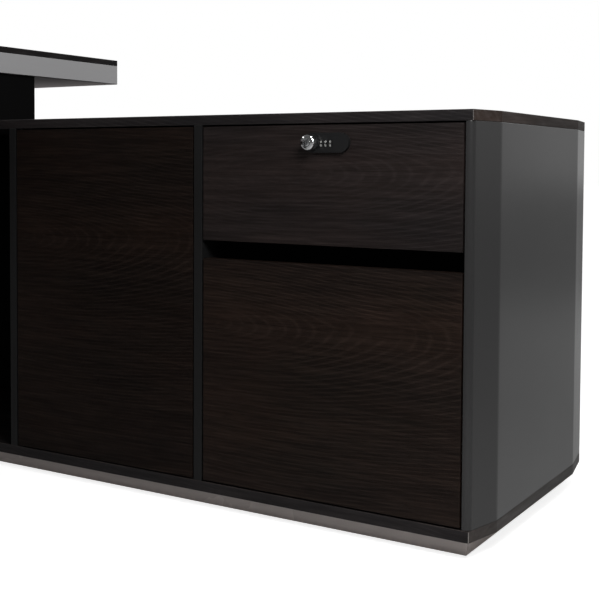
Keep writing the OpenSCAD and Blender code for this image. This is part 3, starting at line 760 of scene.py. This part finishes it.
# The lock's case is die-cast and painted satin black: a plate with round ends, a stepped boss
# round the knob, a sunk window for the number wheels, and a barrel that goes through the front.
lock_black = plain("lock_black", (0.0062, 0.0062, 0.0065), rough=0.34, fine=1500, specular=0.4)
low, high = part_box("lock_case")
boss_t, boss_r, boss_from, ring_r, ring_t, rim_t = 0.004, 0.0115, 0.0012, 0.0106, 0.002, 0.001
spindle_r, case_edge, slot_gap, slot_back, hair = 0.004, 0.0004, 0.0003, 0.0045, 0.0001
sunk, window_side, window_half, wheel_room = 0.0007, 0.0022, 0.0052, 0.0047
slot_side = hair * 1.5
end_r, plate_face, plate_back = (high.z - low.z) / 2, low.y + boss_t, front_low.y
end_x = low.x + end_r
case = rod("lock_case_piece", (end_x, plate_back, lock_z), (end_x, plate_face, lock_z), end_r,
           sides=64)
for point in case.data.vertices:
    if point.co.x > end_x + near:
        point.co.x += high.x - low.x - 2 * end_r
shape(case, block("window", (dials_from - window_side, plate_face - over, dial_z - window_half),
                  (dials_to + window_side, plate_face + sunk, dial_z + window_half)))
for radius, start, finish in ((boss_r, low.y + boss_from, plate_face + rim_t),
                              (ring_r, low.y, low.y + ring_t),
                              (barrel_r, plate_back - rim_t, high.y)):
    step = rod("step", (knob_x, start, lock_z), (knob_x, finish, lock_z), radius, sides=64)
    shape(case, step, "UNION")
shape(case, block("housing", (pocket_low.x + hair, plate_back - rim_t, pocket_low.z + hair),
                  [v - hair for v in pocket_high]), "UNION")
shape(case, rod("bore", (knob_x, low.y - over, lock_z), (knob_x, high.y + over, lock_z),
                spindle_r + bore_gap))
for dial_low, dial_high in dial_boxes:
    slot = rod("slot", (dial_low.x - slot_side, dial_y, dial_z), (dial_high.x + slot_side, dial_y, dial_z),
               dial_r + slot_gap, sides=64)
    behind = copied("slot", slot, moved())
    shape(slot, block("front", (dial_low.x - over, low.y, dial_z - wheel_room),
                      (dial_high.x + over, pocket_high.y, dial_z + wheel_room)), "INTERSECT")
    shape(behind, block("behind", (dial_low.x - over, plate_back - slot_back, dial_z - over),
                        (dial_high.x + over, pocket_high.y, dial_z + over)), "INTERSECT")
    shape(case, shape(slot, behind, "UNION"))
hand_over(dress(ease(case, case_edge), lock_black), "lock_case")

# The knob is turned brass with chrome plate: a fluted grip, a domed face with a ring sunk
# round the key disc, and a key slot. Its spindle passes through the barrel.
chrome = plain("chrome_plate", (0.78, 0.79, 0.80), rough=0.13, metallic=1.0, bump=0.000002, rough_shift=0.05)
knob_gap, knob_edge = 0.0004, 0.0002
foot = low.y - knob_gap
# Each pair of the knob's profile is a distance out from its foot and a radius.
profile = ((0.0, 0.0090), (0.0036, 0.0090), (0.0050, 0.0108), (0.0056, 0.0110), (0.0090, 0.0110),
           (0.0100, 0.0107), (0.0107, 0.0099), (0.0113, 0.0084), (0.0117, 0.0064), (0.0117, 0.0058),
           (0.0112, 0.0056), (0.0112, 0.0052), (0.0118, 0.0049), (0.0119, 0.0030))
grip_from, grip_to, sides, flute_every, flute_in = 0.0049, 0.0102, 72, 3, 0.965
bpy.ops.object.select_all(action="DESELECT")
bpy.ops.mesh.primitive_circle_add(vertices=sides, radius=profile[0][1], fill_type="NGON",
                                  location=(knob_x, foot, lock_z), rotation=(quarter, 0, 0))
knob = bpy.context.object
knob.name = "lock_knob_piece"
bpy.ops.object.transform_apply(location=True, rotation=True, scale=True)
bpy.ops.object.mode_set(mode="EDIT")
bpy.ops.mesh.select_all(action="SELECT")
for (out, radius), (next_out, next_radius) in zip(profile, profile[1:]):
    ratio = next_radius / radius
    bpy.ops.mesh.extrude_region_move(TRANSFORM_OT_translate={"value": (0, out - next_out, 0)})
    bpy.ops.transform.resize(value=(ratio, 1, ratio), center_override=(knob_x, foot - next_out, lock_z))
bpy.ops.mesh.select_all(action="SELECT")
bpy.ops.mesh.normals_make_consistent(inside=False)
bpy.ops.object.mode_set(mode="OBJECT")
for point in knob.data.vertices:
    away = math.atan2(point.co.z - lock_z, point.co.x - knob_x) / (2 * math.pi) * sides
    if grip_from < foot - point.co.y < grip_to and round(away) % flute_every == 0:
        point.co.x = knob_x + (point.co.x - knob_x) * flute_in
        point.co.z = lock_z + (point.co.z - lock_z) * flute_in
key_w, key_h, key_depth = 0.0018, 0.0070, 0.0029
shape(knob, block("key_slot", (knob_x - key_w / 2, knob_low.y - over, lock_z - key_h / 2),
                  (knob_x + key_w / 2, foot - profile[-1][0] + key_depth, lock_z + key_h / 2)))
shape(knob, rod("spindle", (knob_x, foot - rim_t, lock_z), (knob_x, knob_high.y, lock_z), spindle_r),
      "UNION")
hand_over(dress(ease(knob, knob_edge), chrome), "lock_knob")

# The number wheels are black plastic with ten flats. Each flat has a raised pale figure, and
# the wheels turn on a steel axle in the case.
wheel_black = plain("wheel_black", (0.007, 0.007, 0.007), rough=0.3)
pale_ink = plain("pale_ink", (0.33, 0.33, 0.32), rough=0.5)
flats, first_figure = 10, 8
turn_per_flat = math.radians(360 / flats)
wheel_edge, wheel_bore_r, axle_edge, rim_share, flat_area = 0.0004, 0.00155, 0.0002, 0.9, 1e-5
figure_size, figure_stretch, figure_t = 0.0054, 1.35, 0.00006
wheel_half = (dial_boxes[0][1].x - dial_boxes[0][0].x) / 2
wheel = rod("wheel", (-wheel_half, 0, 0), (wheel_half, 0, 0), dial_r, sides=flats)
shape(wheel, rod("bore", (-over, 0, 0), (over, 0, 0), wheel_bore_r, sides=24))
dress(ease(wheel, wheel_edge), wheel_black, pale_ink)
around = [f.normal for f in wheel.data.polygons
          if abs(f.normal.x) < 0.01 and f.center.yz.length > dial_r * rim_share and f.area > flat_area]
to_front = min((math.atan2(n.z, -n.y) for n in around), key=abs) + turn_per_flat / 2
wheel.data.transform(Matrix.Rotation(to_front, 4, "X"))
marks = []
for i in range(flats):
    bpy.ops.object.select_all(action="DESELECT")
    bpy.ops.object.text_add(location=(0, 0, 0))
    bpy.context.object.data.body = str((first_figure + i) % flats)
    bpy.context.object.data.size = figure_size
    bpy.context.object.data.resolution_u = 2
    bpy.context.object.data.extrude = figure_t
    bpy.ops.object.convert(target="MESH")
    mark = bpy.context.object
    points = [v.co for v in mark.data.vertices]
    middle_x, middle_y = ((min(v) + max(v)) / 2 for v in ([p.x for p in points], [p.y for p in points]))
    centred = Matrix.Diagonal((figure_stretch, 1, 1, 1)) @ moved(-middle_x, -middle_y)
    on_flat = moved(y=-dial_r * math.cos(turn_per_flat / 2)) @ Matrix.Rotation(quarter, 4, "X") @ centred
    mark.data.transform(Matrix.Rotation(turn_per_flat / 2 - i * turn_per_flat, 4, "X") @ on_flat)
    dress(mark, wheel_black, pale_ink)
    for face in mark.data.polygons:
        face.material_index = 1
    marks.append(mark)
wheel = joined("wheel", [wheel] + marks)
for i, (dial_low, dial_high) in enumerate(dial_boxes, 1):
    spot = moved((dial_low.x + dial_high.x) / 2, dial_y, dial_z)
    hand_over(copied(f"lock_dial_{i}_piece", wheel, spot), f"lock_dial_{i}")
bpy.data.objects.remove(wheel)
low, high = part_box("lock_axle")
axle = rod("lock_axle_piece", (low.x, dial_y, dial_z), (high.x, dial_y, dial_z), (high.z - low.z) / 2,
           sides=24)
hand_over(dress(ease(axle, axle_edge), zinc), "lock_axle")

# The lock's cam is a stamped steel tongue on the spindle's end. It turns up behind the strike,
# a folded black steel plate that is screwed under the cabinet's top.
black_steel = plain("black_steel", (0.007, 0.007, 0.0072), rough=0.42, specular=0.3)
cam_r, strike_r, stamped_edge = 0.0038, 0.004, 0.0003
low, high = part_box("lock_cam")
cam = block("lock_cam_piece", low, high)
round_edges(cam, lambda a, b: abs(a.y - b.y) > near, cam_r, segments=6)
shape(cam, rod("bore", (knob_x, low.y - over, lock_z), (knob_x, high.y + over, lock_z), spindle_r))
hand_over(dress(ease(cam, stamped_edge), zinc), "lock_cam")


def folded_plate(name, low, high, thick, along):
    plate = block(name, low, [low[i] + thick if i == along else high[i] for i in range(3)])
    only(plate)
    bpy.ops.object.mode_set(mode="EDIT")
    bpy.ops.mesh.select_all(action="SELECT")
    bpy.ops.mesh.bisect(plane_co=(0, 0, high[2] - thick), plane_no=(0, 0, 1))
    bpy.ops.object.mode_set(mode="OBJECT")
    pick(plate, "FACE",
         lambda centre, normal: normal[along] > square_on and centre.z > high[2] - thick)
    arm = [high[i] - low[i] - thick if i == along else 0 for i in range(3)]
    bpy.ops.mesh.extrude_region_move(TRANSFORM_OT_translate={"value": arm})
    bpy.ops.object.mode_set(mode="OBJECT")
    return plate


low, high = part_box("lock_strike")
strike_t, strike_screw_r, strike_screw_t, screw_from_end, screw_from_back = 0.002, 0.0034, 0.0013, 0.01, 0.009
strike = folded_plate("lock_strike_piece", low, high, strike_t, along=1)
round_edges(strike, lambda a, b: min(a.y, b.y) > high.y - near and (a - b).xy.length < near, strike_r,
            segments=5)
screw = cross_screw("screw", (low.x + screw_from_end, high.y - screw_from_back, high.z - strike_t),
                    (0, 0, -1), strike_screw_r, strike_screw_t)
screws = repeated("screws", screw, (moved(), moved(high.x - low.x - 2 * screw_from_end)))
strike = joined("lock_strike_piece", [ease(strike, stamped_edge), screws])
hand_over(dress(strike, black_steel), "lock_strike")

# The door pivots are blackened steel pins, pressed into the base and top boards. A collar on
# each keeps the door clear of the board.
black_oxide = plain("black_oxide", (0.003, 0.003, 0.0032), rough=0.65, fine=700, specular=0.08)
pin_in_board, pin_in_door, pin_edge, collar_t, collar_edge = 0.010, 0.0125, 0.0005, 0.0022, 0.0003
pivot = joined("pivot", [ease(rod("pin", (0, 0, -pin_in_board), (0, 0, pin_in_door), pivot_r), pin_edge),
                         ease(rod("collar", (0, 0, 0), (0, 0, collar_t), collar_r), collar_edge)])
top_z, base_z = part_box("credenza_top")[0].z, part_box("credenza_base")[1].z
spots = [moved(x, pivot_y, z) @ Matrix.Rotation(turn, 4, "X")
         for x in (pivot_x, 2 * doors_middle - pivot_x) for z, turn in ((base_z, 0), (top_z, math.pi))]
hand_over(dress(repeated("door_pivots_piece", pivot, spots), black_oxide), "door_pivots")

# The push latches are black plastic cases under the top board. The door rests near the rounded
# tip of a grey plastic plunger, which springs it open when it is pushed.
grey_plastic = plain("grey_plastic", (0.30, 0.30, 0.31), rough=0.45)
tip_r, plunger_edge, latch_round, bore_past = 0.0018, 0.0003, 0.0008, 0.003
case_low, case_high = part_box("latch_cases")
low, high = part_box("latch_plunger_right")
x, z, plunger_r = (low.x + high.x) / 2, (low.z + high.z) / 2, (high.z - low.z) / 2
to_left_door = moved(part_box("latch_plunger_left")[0].x - low.x)
plunger = rod("latch_plunger_right_piece", (x, low.y, z), (x, high.y, z), plunger_r)
round_edges(plunger, lambda a, b: max(a.y, b.y) < low.y + near, tip_r, segments=5)
dress(ease(plunger, plunger_edge), grey_plastic)
hand_over(copied("latch_plunger_left_piece", plunger, to_left_door), "latch_plunger_left")
hand_over(plunger, "latch_plunger_right")
latch = block("case", (2 * x - case_high.x, case_low.y, case_low.z), case_high)
shape(latch, rod("bore", (x, case_low.y - over, z), (x, high.y + bore_past, z), plunger_r + bore_gap))
ease(latch, latch_round, segments=3)
latches = repeated("latch_cases_piece", latch, (moved(), to_left_door))
hand_over(dress(latches, black_plastic), "latch_cases")

# The riser is a box of four black laminate boards on the cabinet's top. The front and back are
# butted between the sides, and the box carries the desktop.
for node in ("riser_front", "riser_back", "riser_side_right", "riser_side_left"):
    board(node, black_laminate)

# The leg that carries the desktop's other end is a thick panel in the end panels' grey foil,
# folded like them. It stands on a low plinth of its own, in the cabinet plinth's foil.
fold_from_side = 0.01
low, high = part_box("leg_panel")
leg = folded_panel("leg_panel", [((x, low.y + facet_in, low.z), (way * facet_in, -facet_front, 0))
                                 for x, way in ((low.x, -1), (high.x, 1))],
                   lambda a: (abs(a.y - low.y) < near and
                              low.x + fold_from_side < a.x < high.x - fold_from_side),
                   lambda a: min(a.x - low.x, high.x - a.x) < near and abs(a.y - low.y - facet_in) < near)
hand_over(leg, "leg_panel")
board("leg_plinth", silver_foil)

# The modesty panel is dark oak laminate board, eased at its edges. It hangs between the leg and
# the cabinet, on three of the angles under the desktop.
modesty_oak = dark_oak("modesty_oak", (0, -quarter, -quarter), shift=(0.1, -0.5, 0.74), shade=1.0,
                       specular=0.14)
board("modesty_panel", modesty_oak)

# The desktop is a silver-grey slab with a dark oak board glued on it. Both have eased edges, and
# the slab lies on the riser, the leg and the modesty panel, with a paper backing underneath.
silver_laminate = plain("silver_laminate", (0.325, 0.322, 0.328), rough=0.42)
backing = plain("backing_paper", (0.40, 0.315, 0.32), rough=0.45)
slab_low, slab_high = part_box("desk_core")
slab_edge, flat_down = 0.0012, -0.99
slab = ease(block("desk_core_piece", slab_low, slab_high), slab_edge)
dress(slab, silver_laminate, shadow_line, backing)
# The slab's lower eased edge takes the near-black painted shadow line, and its underside takes the paper.
for face in slab.data.polygons:
    face.material_index = 2 if face.normal.z < flat_down else int(face.normal.z < turned_down)
hand_over(slab, "desk_core")
desk_oak = dark_oak("desk_oak", along_y, shift=(0.2, 0.5, -0.72), shade=0.8,
                    brown=plum, streak=plum_streak, specular=0.06)
board("desk_top", desk_oak, front_soft)

# Folded black steel angles hold the slab to the modesty panel and the leg, each with one
# screw up and one screw across.
arm, wide, thick, angle_r, angle_edge, hole_at, hole_r = 0.040, 0.036, 0.003, 0.006, 0.0004, 0.024, 0.00225
screw_r, screw_t, screw_long = 0.004, 0.002, 0.015
inner_x, inner_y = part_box("modesty_panel")[1].x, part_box("leg_panel")[1].y
run_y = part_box("modesty_panel")[1].y - inner_y
run_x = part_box("riser_side_right")[1].x - inner_x
spots = [moved(inner_x, inner_y + run_y * i / 4, slab_low.z) for i in (1, 2, 3)]
spots += [moved(inner_x + run_x * i / 3, inner_y, slab_low.z) @ Matrix.Rotation(quarter, 4, "Z")
          for i in (1, 2)]
angle = folded_plate("angle", (0, -wide / 2, -arm), (arm, wide / 2, 0), thick, along=0)
round_edges(angle, lambda a, b: abs(a.y - b.y) < near and
            (max(a.z, b.z) < near - arm or min(a.x, b.x) > arm - near), angle_r, segments=6)
shape(angle, joined("holes", [rod("hole", (-over, 0, -hole_at), (over, 0, -hole_at), hole_r, sides=24),
                              rod("hole", (hole_at, 0, -over), (hole_at, 0, over), hole_r, sides=24)]))
angles = repeated("angle_brackets_piece", ease(angle, angle_edge), spots)
hand_over(dress(angles, black_steel), "angle_brackets")
screws = joined("screws", [cross_screw("screw", point, way, screw_r, screw_t, screw_long)
                           for point, way in (((thick, 0, -hole_at), (1, 0, 0)),
                                              ((hole_at, 0, -thick), (0, 0, -1)))])
hand_over(dress(repeated("bracket_screws_piece", screws, spots), zinc), "bracket_screws")
